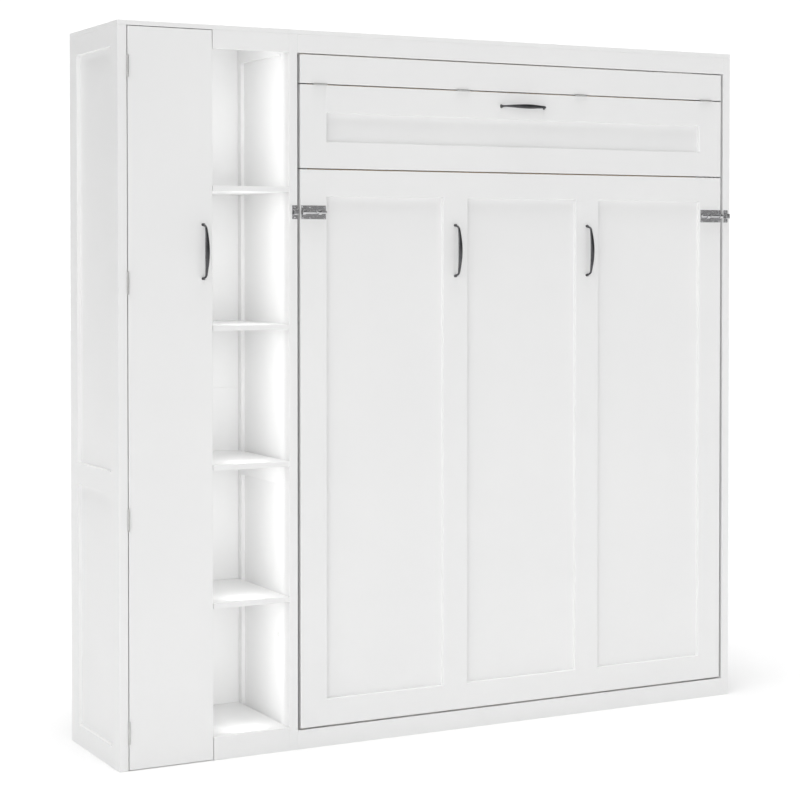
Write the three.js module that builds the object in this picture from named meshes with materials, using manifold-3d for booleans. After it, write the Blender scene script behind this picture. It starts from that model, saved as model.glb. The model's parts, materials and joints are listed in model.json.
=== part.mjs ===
// Murphy wall bed: a queen-size bed that folds up into a shallow cabinet, with a side cabinet
// on its left that holds a narrow wardrobe and an open bay of shelves.
//
// Millimetres, +Z up. The origin is on the floor, under the middle of the overall box.
// +X runs to the right along the front, +Y runs back to the wall, and the front looks along -Y.
// Faces that touch lie on multiples of 0.25 mm, so that they meet exactly.

import * as THREE from "three";
import { mergeVertices } from "three/addons/utils/BufferGeometryUtils.js";
import Module from "manifold-3d";

const wasm = await Module();
wasm.setup();

// Overall size.
const WIDTH = 2205;
const HEIGHT = 2200;
const FRONT = -200;
const BACK = 236;
const LEFT = -WIDTH / 2;
const RIGHT = WIDTH / 2;

// Board stock. Each shaker panel is a board with a frame of stiles and rails bonded to its face.
const BOARD = 16;
const FRAME = 12;
const PANEL = BOARD + FRAME;
const TOP_BOARD = 14;
const THIN_BOARD = 12;
const UNDER_TOP = HEIGHT - TOP_BOARD;

// The two cabinets.
const SIDE_CABINET_WIDTH = 547;
const SEAM = LEFT + SIDE_CABINET_WIDTH;
const BED_LEFT = SEAM + PANEL;
const BED_RIGHT = RIGHT - PANEL;
const BED_X = (BED_LEFT + BED_RIGHT) / 2;
const HEADER_BOTTOM = 2130;
const FACE_BOARD = 18;
const BED_BASE_HEIGHT = 58;
const BED_BASE_BOARD = 15;

// Stiles and rails on the three upright side panels.
const SIDE_STILE = 65;
const SIDE_TOP_RAIL = 57;
const SIDE_BOTTOM_RAIL = 62;
const SIDE_MIDDLE_RAIL = [810, 874];

// Side cabinet.
const DOOR_THICKNESS = 16;
const DOOR_GAP = 3;
const DOOR_LEFT = LEFT + PANEL + DOOR_GAP;
const DOOR_RIGHT = -806.5;
const DOOR_BOTTOM = 2;
const DOOR_TOP = UNDER_TOP - 2;
const INNER_FRONT = FRONT + FACE_BOARD;
const BAY_LEFT = -804.5;
const SIDE_BOTTOM_TOP = 70;
const SIDE_BACK_FACE = 195;
const SIDE_BACK_SEAM = 1089;
const SHELF_HEIGHTS = [463, 878, 1296, 1714];
const SHELF_SETBACK = 2;
const WARDROBE_SHELF_HEIGHT = 1808;
const HANGING_RAIL_HEIGHT = 1736;
const HANGING_RAIL_RADIUS = 12;

// Bed box. When it is closed it stands upright: the front face is the bed's underside.
const BED_WIDTH = 1582;
const BED_BOTTOM = 63.5;
const BED_TOP = 2126;
const BED_BACK_OF_FACE = FRONT + PANEL;
const MAIN_TOP = 1776;
const MAIN_STILE = 88;
const MAIN_MIDDLE_STILE = 86;
const MAIN_RAIL = 80;
const FOOT_BOTTOM = 1780;
const FOOT_TOP = 2035;
const FOOT_RAILS = [80, 83];
const FOOT_HANDLE_DROP = 43.5;
const STRIP_BOTTOM = 2039;
const RAIL_INNER = 763.5;
const RAIL_THICKNESS = 17;
const RAIL_OUTER = RAIL_INNER + RAIL_THICKNESS;
const RAIL_BACK = -32;
const END_BOARD = 15;
const SLAT_BACK = -110;
const SLAT_THICKNESS = 12;
const SLAT_WIDTH = 70;
const SLAT_COUNT = 14;
const SLAT_PITCH = 146;
const WEBBING_OFFSET = 700;
const WEBBING_WIDTH = 30;
const LEDGE_WIDTH = 20;
const LEDGE_DEPTH = 25;
const BEAM_WIDTH = 25;

// Bed pivot, on which the whole bed box turns, and the gas struts that balance it.
const PIVOT_Y = -120;
const PIVOT_Z = 342;
const PIN_RADIUS = 8;
const CABINET_WALL = (BED_RIGHT - BED_LEFT) / 2;
const LEVER = { y: 60, z: -140 };
const ANCHOR = { y: 210, z: 610 };
const STRUT_OFFSET = 791.25;
const TUBE_RADIUS = 7;
const TUBE_LENGTH = 500;
const ROD_RADIUS = 3;
const STUD_RADIUS = 4;
const EYE_THICKNESS = 8.5;
const PLATE_CORNER = 9;

// Hinges, handles and bolts.
const HINGE_BARREL = 3;
const HINGE_LEAF = 1;
const HINGE_AXIS_Y = FRONT - HINGE_BARREL;
const DOOR_HINGE_X = LEFT + PANEL + DOOR_GAP / 2;
const DOOR_HINGE_LENGTH = 67;
const DOOR_HINGE_HEIGHTS = [112, 739, 1434, 2067];
const FOOT_HINGE_Z = (FOOT_TOP + STRIP_BOTTOM) / 2;
const FOOT_HINGE_LENGTH = 46;
const FOOT_HINGE_OFFSETS = [-725, -222, 222, 725];
const HANDLE_HALF_LENGTH = 78;
const HANDLE_REACH = 36;
const HANDLE_HALF_WIDTH = 5.5;
const HANDLE_HALF_DEPTH = 3.5;
const BOLT_Z = 1645;
const BOLT_HEIGHT = 42;
const BOLT_PLATE_LENGTH = 83;
const BOLT_PLATE = 2;
const BOLT_ROD_RADIUS = 5;
const BOLT_AXIS_Y = FRONT - 9;
const BOLT_CLEARANCE = 0.4;
const KEEPER_WIDTH = 17;
const KEEPER_TUNNEL = 6;
const KEEPER_STRAP = 2.5;

const PAINT = { color: 0xf1f1ef, roughness: 0.45, metalness: 0 };
const RAW_WOOD = { color: 0xd9bf94, roughness: 0.7, metalness: 0 };
const STEEL = { color: 0xc4c6c9, roughness: 0.3, metalness: 1 };
const BLACK_STEEL = { color: 0x2b2b2d, roughness: 0.45, metalness: 0.4 };
const GUNMETAL = { color: 0x4d4e52, roughness: 0.35, metalness: 1 };

const model = new THREE.Group();

function addPart(group, name, geometry, finish, position = [0, 0, 0]) {
  const mesh = new THREE.Mesh(geometry, new THREE.MeshStandardMaterial(finish));
  mesh.name = name;
  mesh.position.set(...position);
  group.add(mesh);
}

// A box from its low and high limits along each axis.
function block(x, y, z) {
  const geometry = new THREE.BoxGeometry(x[1] - x[0], y[1] - y[0], z[1] - z[0]);
  return geometry.translate((x[0] + x[1]) / 2, (y[0] + y[1]) / 2, (z[0] + z[1]) / 2);
}

function addBlock(group, name, x, y, z, finish) {
  const size = [x[1] - x[0], y[1] - y[0], z[1] - z[0]];
  const centre = [(x[0] + x[1]) / 2, (y[0] + y[1]) / 2, (z[0] + z[1]) / 2];
  addPart(group, name, new THREE.BoxGeometry(...size), finish, centre);
}

// A round bar between two places on an axis that runs along X or Z through the point (a, b).
function barAlongX(from, to, y, z, radius, sides = 24) {
  const geometry = new THREE.CylinderGeometry(radius, radius, Math.abs(to - from), sides);
  return geometry.rotateZ(Math.PI / 2).translate((from + to) / 2, y, z);
}

function barAlongZ(from, to, x, y, radius, sides = 24) {
  const geometry = new THREE.CylinderGeometry(radius, radius, Math.abs(to - from), sides);
  return geometry.rotateX(Math.PI / 2).translate(x, y, (from + to) / 2);
}

function toManifold(geometry) {
  const bare = geometry.clone();
  bare.deleteAttribute("normal");
  bare.deleteAttribute("uv");
  const merged = mergeVertices(bare);
  const vertProperties = new Float32Array(merged.attributes.position.array);
  const triVerts = new Uint32Array(merged.index.array);
  return new wasm.Manifold(new wasm.Mesh({ numProp: 3, vertProperties, triVerts }));
}

function toGeometry(manifold) {
  const mesh = manifold.getMesh();
  const geometry = new THREE.BufferGeometry();
  geometry.setAttribute("position", new THREE.BufferAttribute(mesh.vertProperties, 3));
  geometry.setIndex(new THREE.BufferAttribute(mesh.triVerts, 1));
  geometry.computeVertexNormals();
  return geometry;
}

// Joins the first list of shapes into one solid, then cuts the second list out of it.
function joinAndCut(joined, cuts = []) {
  const whole = joined.map(toManifold).reduce((a, b) => a.add(b));
  return toGeometry(cuts.map(toManifold).reduce((a, b) => a.subtract(b), whole));
}

// ---- Upright side panels ----------------------------------------------------------------

// A board with two framed fields sunk into its outer face. outward is -1 or +1 along X.
function sidePanel(x, outward) {
  const faceX = outward < 0 ? x[0] : x[1];
  const fieldX = outward < 0 ? [faceX - 1, faceX + FRAME] : [faceX - FRAME, faceX + 1];
  const fieldY = [FRONT + SIDE_STILE, BACK - SIDE_STILE];
  const fields = [
    block(fieldX, fieldY, [SIDE_BOTTOM_RAIL, SIDE_MIDDLE_RAIL[0]]),
    block(fieldX, fieldY, [SIDE_MIDDLE_RAIL[1], UNDER_TOP - SIDE_TOP_RAIL]),
  ];
  return joinAndCut([block(x, [FRONT, BACK], [0, UNDER_TOP])], fields);
}

function addSidePanels() {
  addPart(model, "left_end_panel", sidePanel([LEFT, LEFT + PANEL], -1), PAINT);
  addPart(model, "bed_left_panel", sidePanel([SEAM, BED_LEFT], -1), PAINT);
  addPart(model, "bed_right_panel", sidePanel([BED_RIGHT, RIGHT], 1), PAINT);
}

// ---- Side cabinet -----------------------------------------------------------------------

function addSideCabinet() {
  const inside = [LEFT + PANEL, SEAM];
  const bay = [BAY_LEFT, SEAM];
  const face = [FRONT, INNER_FRONT];
  const inner = [INNER_FRONT, SIDE_BACK_FACE];
  const back = [SIDE_BACK_FACE, SIDE_BACK_FACE + THIN_BOARD];
  const wardrobe = [LEFT + PANEL, BAY_LEFT - BOARD];

  addBlock(model, "side_top", [LEFT, SEAM], [FRONT, BACK], [UNDER_TOP, HEIGHT], PAINT);
  addBlock(model, "side_header", bay, face, [HEADER_BOTTOM, UNDER_TOP], PAINT);
  addBlock(model, "side_base_rail", bay, face, [0, SIDE_BOTTOM_TOP], PAINT);
  addBlock(model, "side_bottom", inside, inner, [SIDE_BOTTOM_TOP - BOARD, SIDE_BOTTOM_TOP], PAINT);
  addBlock(model, "side_divider", [BAY_LEFT - BOARD, BAY_LEFT], inner, [SIDE_BOTTOM_TOP, UNDER_TOP], PAINT);
  addBlock(model, "side_back_lower", inside, back, [0, SIDE_BACK_SEAM], PAINT);
  addBlock(model, "side_back_upper", inside, back, [SIDE_BACK_SEAM, UNDER_TOP], PAINT);

  SHELF_HEIGHTS.forEach((height, i) => {
    const depth = [FRONT + SHELF_SETBACK, SIDE_BACK_FACE];
    addBlock(model, `bay_shelf_${i + 1}`, bay, depth, [height - BOARD / 2, height + BOARD / 2], PAINT);
  });

  const shelf = [WARDROBE_SHELF_HEIGHT - BOARD / 2, WARDROBE_SHELF_HEIGHT + BOARD / 2];
  addBlock(model, "wardrobe_shelf", wardrobe, inner, shelf, PAINT);
  const rail = barAlongX(wardrobe[0], wardrobe[1], 0, HANGING_RAIL_HEIGHT, HANGING_RAIL_RADIUS);
  addPart(model, "hanging_rail", rail, STEEL);
}

// ---- Wardrobe door ----------------------------------------------------------------------

// The leaf fixed to the side panel, with the whole barrel on its front edge.
function doorHinge() {
  const half = DOOR_HINGE_LENGTH / 2;
  const leafX = [LEFT + PANEL, LEFT + PANEL + HINGE_LEAF];
  const leaf = block(leafX, [HINGE_AXIS_Y, FRONT + DOOR_THICKNESS], [-half, half]);
  const barrel = barAlongZ(-half, half, DOOR_HINGE_X, HINGE_AXIS_Y, HINGE_BARREL, 16);
  return joinAndCut([leaf, barrel]);
}

function addDoor() {
  const thickness = [FRONT, FRONT + DOOR_THICKNESS];
  addBlock(model, "wardrobe_door", [DOOR_LEFT, DOOR_RIGHT], thickness, [DOOR_BOTTOM, DOOR_TOP], PAINT);
  DOOR_HINGE_HEIGHTS.forEach((height, i) => {
    addPart(model, `door_hinge_${i + 1}`, doorHinge(), STEEL, [0, 0, height]);
  });
}

// ---- Bed cabinet ------------------------------------------------------------------------

function addBedCabinet() {
  const inside = [BED_LEFT, BED_RIGHT];
  const thickBack = [BACK - BOARD, BACK];
  const thinBack = [BACK - THIN_BOARD, BACK];
  const base = [FRONT, FRONT + BED_BASE_BOARD];
  addBlock(model, "bed_cabinet_top", [SEAM, RIGHT], [FRONT, BACK], [UNDER_TOP, HEIGHT], PAINT);
  addBlock(model, "bed_header", inside, [FRONT, INNER_FRONT], [HEADER_BOTTOM, UNDER_TOP], PAINT);
  addBlock(model, "bed_base_rail", inside, base, [0, BED_BASE_HEIGHT], PAINT);
  addBlock(model, "wall_rail_top", inside, thickBack, [UNDER_TOP - 100, UNDER_TOP], PAINT);
  addBlock(model, "headboard_panel", inside, thinBack, [360, 900], PAINT);
  addBlock(model, "wall_rail_bottom", inside, thickBack, [0, 80], PAINT);
}

// ---- Bed box ----------------------------------------------------------------------------

function fields(xEdges, z) {
  return xEdges.map((x) => block(x, [FRONT - 1, FRONT + FRAME], z));
}

// The big lower panel: three tall framed fields side by side.
function mainPanel() {
  const inner = BED_WIDTH / 2 - MAIN_STILE;
  const fieldWidth = (2 * inner - 2 * MAIN_MIDDLE_STILE) / 3;
  const xEdges = [0, 1, 2].map((i) => {
    const start = BED_X - inner + i * (fieldWidth + MAIN_MIDDLE_STILE);
    return [start, start + fieldWidth];
  });
  const slab = block(
    [BED_X - BED_WIDTH / 2, BED_X + BED_WIDTH / 2],
    [FRONT, BED_BACK_OF_FACE],
    [BED_BOTTOM, MAIN_TOP],
  );
  return joinAndCut([slab], fields(xEdges, [BED_BOTTOM + MAIN_RAIL, MAIN_TOP - MAIN_RAIL]));
}

// The panel that folds out to stand on the floor as the bed's leg: one long framed field.
function footPanel() {
  const inner = BED_WIDTH / 2 - MAIN_STILE;
  const slab = block(
    [BED_X - BED_WIDTH / 2, BED_X + BED_WIDTH / 2],
    [FRONT, BED_BACK_OF_FACE],
    [FOOT_BOTTOM, FOOT_TOP],
  );
  const fieldZ = [FOOT_BOTTOM + FOOT_RAILS[0], FOOT_TOP - FOOT_RAILS[1]];
  return joinAndCut([slab], fields([[BED_X - inner, BED_X + inner]], fieldZ));
}

// A side rail with its slat ledge and the clearance hole for the pivot pin.
function bedRail(side) {
  const x = (a, b) => [BED_X + side * a, BED_X + side * b].sort((p, q) => p - q);
  const rail = block(x(RAIL_INNER, RAIL_OUTER), [BED_BACK_OF_FACE, RAIL_BACK], [BED_BOTTOM, BED_TOP]);
  const slatFront = SLAT_BACK - SLAT_THICKNESS;
  const ledge = block(
    x(RAIL_INNER - LEDGE_WIDTH, RAIL_INNER),
    [slatFront - LEDGE_DEPTH, slatFront],
    [BED_BOTTOM + END_BOARD, BED_TOP - END_BOARD],
  );
  const hole = barAlongX(...x(RAIL_INNER - 1, RAIL_OUTER + 1), PIVOT_Y, PIVOT_Z, PIN_RADIUS + 1);
  return joinAndCut([rail, ledge], [hole]);
}

// Fourteen slats held at even spacing by a strip of webbing near each end.
function slatRoll() {
  const first = (BED_BOTTOM + BED_TOP - (SLAT_COUNT - 1) * SLAT_PITCH) / 2;
  const last = first + (SLAT_COUNT - 1) * SLAT_PITCH;
  const slatX = [BED_X - RAIL_INNER + 1, BED_X + RAIL_INNER - 1];
  const slats = Array.from({ length: SLAT_COUNT }, (_, i) => {
    const middle = first + i * SLAT_PITCH;
    const z = [middle - SLAT_WIDTH / 2, middle + SLAT_WIDTH / 2];
    return block(slatX, [SLAT_BACK - SLAT_THICKNESS, SLAT_BACK], z);
  });
  const webbing = [-WEBBING_OFFSET, WEBBING_OFFSET].map((offset) => {
    const x = [BED_X + offset - WEBBING_WIDTH / 2, BED_X + offset + WEBBING_WIDTH / 2];
    return block(x, [SLAT_BACK - 1, SLAT_BACK + 1], [first, last]);
  });
  return joinAndCut([...slats, ...webbing]);
}

// The leaf under the top strip, with the whole barrel on its front edge.
function footHinge() {
  const half = FOOT_HINGE_LENGTH / 2;
  const leafZ = [STRIP_BOTTOM - HINGE_LEAF, STRIP_BOTTOM];
  const leaf = block([-half, half], [HINGE_AXIS_Y, FRONT + 20], leafZ);
  const barrel = barAlongX(-half, half, HINGE_AXIS_Y, FOOT_HINGE_Z, HINGE_BARREL, 16);
  return joinAndCut([leaf, barrel]);
}

function addBedBox() {
  const faceX = [BED_X - BED_WIDTH / 2, BED_X + BED_WIDTH / 2];
  const face = [FRONT, BED_BACK_OF_FACE];
  const between = [BED_X - RAIL_INNER, BED_X + RAIL_INNER];
  const deep = [BED_BACK_OF_FACE, RAIL_BACK];
  const inner = [BED_BOTTOM + END_BOARD, BED_TOP - END_BOARD];
  const beamX = [BED_X - BEAM_WIDTH / 2, BED_X + BEAM_WIDTH / 2];
  const beamY = [BED_BACK_OF_FACE, SLAT_BACK - SLAT_THICKNESS];

  addPart(model, "main_panel", mainPanel(), PAINT);
  addPart(model, "foot_panel", footPanel(), PAINT);
  addBlock(model, "top_strip", faceX, face, [STRIP_BOTTOM, BED_TOP], PAINT);
  addPart(model, "bed_rail_left", bedRail(-1), PAINT);
  addPart(model, "bed_rail_right", bedRail(1), PAINT);
  addBlock(model, "head_end_board", between, deep, [BED_BOTTOM, inner[0]], PAINT);
  addBlock(model, "foot_end_board", between, deep, [inner[1], BED_TOP], PAINT);
  addBlock(model, "centre_beam", beamX, beamY, inner, RAW_WOOD);
  addPart(model, "slat_roll", slatRoll(), RAW_WOOD);
  FOOT_HINGE_OFFSETS.forEach((offset, i) => {
    addPart(model, `foot_hinge_${i + 1}`, footHinge(), STEEL, [BED_X + offset, 0, 0]);
  });
}

// ---- Pivots and gas struts --------------------------------------------------------------

// A flat plate across X, with round corners.
function roundedPlate(x, y, z) {
  const r = PLATE_CORNER;
  const outline = new THREE.Shape();
  outline.absarc(y[1] - r, z[1] - r, r, 0, Math.PI / 2);
  outline.absarc(y[0] + r, z[1] - r, r, Math.PI / 2, Math.PI);
  outline.absarc(y[0] + r, z[0] + r, r, Math.PI, 1.5 * Math.PI);
  outline.absarc(y[1] - r, z[0] + r, r, 1.5 * Math.PI, 2 * Math.PI);
  const depth = x[1] - x[0];
  const plate = new THREE.ExtrudeGeometry(outline, { depth, bevelEnabled: false, curveSegments: 6 });
  return plate.rotateZ(Math.PI / 2).rotateY(Math.PI / 2).translate(x[0], 0, 0);
}

// The plate screwed to the cabinet side, with the pin that carries the bed.
function pivotPlate(side) {
  const plateX = [side * (CABINET_WALL - 3), side * CABINET_WALL].sort((p, q) => p - q);
  const plate = roundedPlate(plateX, [-50, 45], [-55, 55]);
  const pin = barAlongX(side * (CABINET_WALL - 2), side * (RAIL_INNER + 4), 0, 0, PIN_RADIUS);
  return joinAndCut([plate, pin]);
}

// The plate screwed to the bed rail: a boss that turns on the pin, and the strut's lower stud.
function bedPlate(side) {
  const face = RAIL_OUTER + 3;
  const plateX = [side * RAIL_OUTER, side * face].sort((p, q) => p - q);
  const plate = roundedPlate(plateX, [-40, 85], [-172, 43]);
  const boss = barAlongX(side * (face - 1), side * (face + 14), 0, 0, PIN_RADIUS + 6);
  const stud = barAlongX(side * (face - 1), side * (face + 2.5), LEVER.y, LEVER.z, STUD_RADIUS);
  const hole = barAlongX(side * (RAIL_OUTER - 1), side * (face + 15), 0, 0, PIN_RADIUS + 0.4);
  return joinAndCut([plate, boss, stud], [hole]);
}

// The plate that holds the strut's upper stud, screwed to the cabinet side.
function strutBracket(side) {
  const plateX = [side * (CABINET_WALL - 2.5), side * CABINET_WALL].sort((p, q) => p - q);
  const plate = roundedPlate(plateX, [-30, 30], [-35, 35]);
  const stud = barAlongX(side * (CABINET_WALL - 2), side * (STRUT_OFFSET - 5), 0, 0, STUD_RADIUS);
  return joinAndCut([plate, stud]);
}

function eye(z) {
  const half = EYE_THICKNESS / 2;
  return {
    ring: barAlongX(-half, half, 0, z, STUD_RADIUS + 4.5),
    hole: barAlongX(-half - 1, half + 1, 0, z, STUD_RADIUS + 0.4),
  };
}

// The strut hangs along -Z from its upper eye: a blind tube, and the rod that slides in it.
function strutCylinder() {
  const top = eye(0);
  const neck = barAlongZ(-20, -6, 0, 0, 4);
  const tube = barAlongZ(-TUBE_LENGTH, -18, 0, 0, TUBE_RADIUS);
  const bore = barAlongZ(-TUBE_LENGTH - 1, -60, 0, 0, ROD_RADIUS + 0.4);
  return joinAndCut([top.ring, neck, tube], [top.hole, bore]);
}

function strutRod(reach) {
  const end = eye(-reach);
  const rod = barAlongZ(-reach + 6, -TUBE_LENGTH + 60, 0, 0, ROD_RADIUS);
  return joinAndCut([end.ring, rod], [end.hole]);
}

function addMechanism() {
  const run = ANCHOR.y - LEVER.y;
  const rise = ANCHOR.z - LEVER.z;
  const reach = Math.hypot(run, rise);
  [[-1, "left"], [1, "right"]].forEach(([side, word]) => {
    const pivot = [BED_X, PIVOT_Y, PIVOT_Z];
    const anchor = [BED_X, PIVOT_Y + ANCHOR.y, PIVOT_Z + ANCHOR.z];
    addPart(model, `pivot_plate_${word}`, pivotPlate(side), BLACK_STEEL, pivot);
    addPart(model, `bed_plate_${word}`, bedPlate(side), BLACK_STEEL, pivot);
    addPart(model, `strut_bracket_${word}`, strutBracket(side), BLACK_STEEL, anchor);
    const strut = new THREE.Group();
    strut.position.set(BED_X + side * STRUT_OFFSET, anchor[1], anchor[2]);
    strut.rotation.x = -Math.atan2(run, rise);
    model.add(strut);
    addPart(strut, `strut_cylinder_${word}`, strutCylinder(), BLACK_STEEL);
    addPart(strut, `strut_rod_${word}`, strutRod(reach), STEEL);
  });
}

// ---- Handles ----------------------------------------------------------------------------

// A bow handle standing along Z: splayed feet at its ends and a shallow bow between them,
// in an oval bar whose feet are cut flat where they meet the face.
function bowHandle() {
  const crown = HANDLE_REACH - HANDLE_HALF_DEPTH;
  const half = [
    [HANDLE_HALF_LENGTH + 2, -6],
    [HANDLE_HALF_LENGTH - 1, 8],
    [HANDLE_HALF_LENGTH - 6, crown - 12],
    [HANDLE_HALF_LENGTH - 17, crown - 7],
    [HANDLE_HALF_LENGTH / 2, crown - 2.5],
  ];
  const upper = half.map(([z, reach]) => new THREE.Vector3(0, -reach, z));
  const lower = half.map(([z, reach]) => new THREE.Vector3(0, -reach, -z)).reverse();
  const middle = new THREE.Vector3(0, -crown, 0);
  const section = new THREE.Shape();
  section.absellipse(0, 0, HANDLE_HALF_WIDTH, HANDLE_HALF_DEPTH, 0, 2 * Math.PI);
  const bar = new THREE.ExtrudeGeometry(section, {
    steps: 30,
    curveSegments: 6,
    extrudePath: new THREE.CatmullRomCurve3([...upper, middle, ...lower]),
  });
  const behindFace = block([-20, 20], [0, 60], [-120, 120]);
  return joinAndCut([bar], [behindFace]);
}

function addHandles() {
  const doorHandleX = LEFT + 267;
  const stileX = BED_WIDTH / 2 - MAIN_STILE - (BED_WIDTH - 2 * MAIN_STILE - 2 * MAIN_MIDDLE_STILE) / 3;
  const middleStile = stileX - MAIN_MIDDLE_STILE / 2;
  addPart(model, "door_handle", bowHandle(), GUNMETAL, [doorHandleX, FRONT, 1525]);
  addPart(model, "bed_handle_left", bowHandle(), GUNMETAL, [BED_X - middleStile, FRONT, 1528]);
  addPart(model, "bed_handle_right", bowHandle(), GUNMETAL, [BED_X + middleStile, FRONT, 1528]);
  const lyingHandle = bowHandle().rotateY(Math.PI / 2);
  addPart(model, "foot_handle", lyingHandle, GUNMETAL, [BED_X, FRONT, FOOT_TOP - FOOT_HANDLE_DROP]);
}

// ---- Barrel bolts -----------------------------------------------------------------------

// A half-round guide over the bolt's line, and the hole that the bolt runs in.
function boltGuide(from, to) {
  const low = Math.min(from, to);
  const high = Math.max(from, to);
  const width = BOLT_ROD_RADIUS + 3.5;
  return {
    round: barAlongX(low, high, BOLT_AXIS_Y, 0, width),
    foot: block([low, high], [BOLT_AXIS_Y, FRONT - 1], [-width, width]),
    hole: barAlongX(low - 1, high + 1, BOLT_AXIS_Y, 0, BOLT_ROD_RADIUS + BOLT_CLEARANCE),
  };
}

// Distances run outward from the bed's middle, so one shape serves both sides.
function boltBody(side) {
  const outer = BED_WIDTH / 2 - 2;
  const inner = outer - BOLT_PLATE_LENGTH;
  const plateX = [side * inner, side * outer].sort((p, q) => p - q);
  const plate = block(plateX, [FRONT - BOLT_PLATE, FRONT], [-BOLT_HEIGHT / 2, BOLT_HEIGHT / 2]);
  const guides = [
    boltGuide(side * (outer - 10), side * outer),
    boltGuide(side * (outer - 63), side * (outer - 53)),
  ];
  const joined = [plate, ...guides.flatMap((g) => [g.round, g.foot])];
  const flat = block([-BED_WIDTH, BED_WIDTH], [FRONT, FRONT + 40], [-60, 60]);
  return joinAndCut(joined, [...guides.map((g) => g.hole), flat]);
}

function boltRod(side) {
  const outer = BED_WIDTH / 2 - 2;
  const rod = barAlongX(side * outer, side * (outer - 82), BOLT_AXIS_Y, 0, BOLT_ROD_RADIUS);
  const knob = new THREE.CylinderGeometry(4, 4, 14, 20);
  knob.translate(side * (outer - 47.5), BOLT_AXIS_Y - 7, 0);
  return joinAndCut([rod, knob]);
}

// A plate on the cabinet's edge, with a square strap over it for the thrown bolt to run into.
function boltKeeper(side) {
  const inner = CABINET_WALL + 1.5;
  const keeperX = [side * inner, side * (inner + KEEPER_WIDTH)].sort((p, q) => p - q);
  const face = FRONT - BOLT_PLATE;
  const roof = BOLT_AXIS_Y - KEEPER_TUNNEL;
  const strapHalf = KEEPER_TUNNEL + KEEPER_STRAP;
  const plate = block(keeperX, [face, FRONT], [-BOLT_HEIGHT / 2, BOLT_HEIGHT / 2]);
  const strap = block(keeperX, [roof - KEEPER_STRAP, face + 1], [-strapHalf, strapHalf]);
  const throughX = [keeperX[0] - 1, keeperX[1] + 1];
  const tunnel = block(throughX, [roof, face], [-KEEPER_TUNNEL, KEEPER_TUNNEL]);
  return joinAndCut([plate, strap], [tunnel]);
}

function addBolts() {
  [[-1, "left"], [1, "right"]].forEach(([side, word]) => {
    const place = [BED_X, 0, BOLT_Z];
    addPart(model, `bolt_body_${word}`, boltBody(side), STEEL, place);
    addPart(model, `bolt_rod_${word}`, boltRod(side), STEEL, place);
    addPart(model, `bolt_keeper_${word}`, boltKeeper(side), STEEL, place);
  });
}

addSidePanels();
addSideCabinet();
addDoor();
addBedCabinet();
addBedBox();
addMechanism();
addHandles();
addBolts();

export default model;
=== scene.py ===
"""Murphy wall bed: the finished surfaces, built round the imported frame.

Metres, +Z up. The origin is on the floor under the middle of the unit, and the front looks along -Y.
"""

import json
from math import cos, pi, radians, sin, tan

import bpy
import numpy as np
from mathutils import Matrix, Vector


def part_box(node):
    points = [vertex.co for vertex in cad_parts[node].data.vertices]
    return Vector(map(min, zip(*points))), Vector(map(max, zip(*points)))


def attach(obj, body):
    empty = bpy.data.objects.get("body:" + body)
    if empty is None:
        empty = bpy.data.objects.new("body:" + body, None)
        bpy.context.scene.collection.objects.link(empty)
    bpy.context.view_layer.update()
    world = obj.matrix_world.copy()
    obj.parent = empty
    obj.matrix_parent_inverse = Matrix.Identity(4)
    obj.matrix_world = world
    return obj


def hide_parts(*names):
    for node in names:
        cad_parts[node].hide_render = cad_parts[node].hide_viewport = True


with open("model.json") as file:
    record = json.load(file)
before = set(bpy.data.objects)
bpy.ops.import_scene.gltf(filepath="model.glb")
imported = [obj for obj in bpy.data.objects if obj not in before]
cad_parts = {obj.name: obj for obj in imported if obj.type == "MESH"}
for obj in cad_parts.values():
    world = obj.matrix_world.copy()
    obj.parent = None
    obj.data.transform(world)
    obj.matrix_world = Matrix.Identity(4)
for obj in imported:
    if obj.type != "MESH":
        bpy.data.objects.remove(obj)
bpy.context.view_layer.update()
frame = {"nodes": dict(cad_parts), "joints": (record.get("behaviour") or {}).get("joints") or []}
scene = bpy.context.scene
MM = 0.001

# ---- Camera ------------------------------------------------------------------------------------
# The eye stands to the left of the bed at chest height and looks across the front. It is almost
# level, and the lens is shifted down, so that the cabinet's uprights stay close to upright.
EYE_HEIGHT = 1.530
EYE_DISTANCE = 6.202
EYE_TURN = radians(27.8)
EYE_TILT = radians(1.25)
LENS = 89.15
SENSOR = 36.0
LEVEL_SHIFT = -0.1875

front_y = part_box("wardrobe_door")[0].y
aim = Vector((-0.1746, front_y, EYE_HEIGHT))
eye = bpy.data.objects.new("eye", bpy.data.cameras.new("eye"))
eye.location = aim - EYE_DISTANCE * Vector((sin(EYE_TURN), cos(EYE_TURN), 0))
eye.rotation_euler = (pi / 2 - EYE_TILT, 0, -EYE_TURN)
eye.data.sensor_width = SENSOR
eye.data.lens = LENS
eye.data.shift_y = LEVEL_SHIFT + LENS / SENSOR * tan(EYE_TILT)
scene.collection.objects.link(eye)
scene.camera = eye

# ---- Upright side panels -----------------------------------------------------------------------
# Three full-height uprights: left end, between the cabinets, and right end. Each is a 16 mm board
# of medium-density fibreboard with 12 mm stiles and rails bonded to its face, sprayed satin white.


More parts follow.
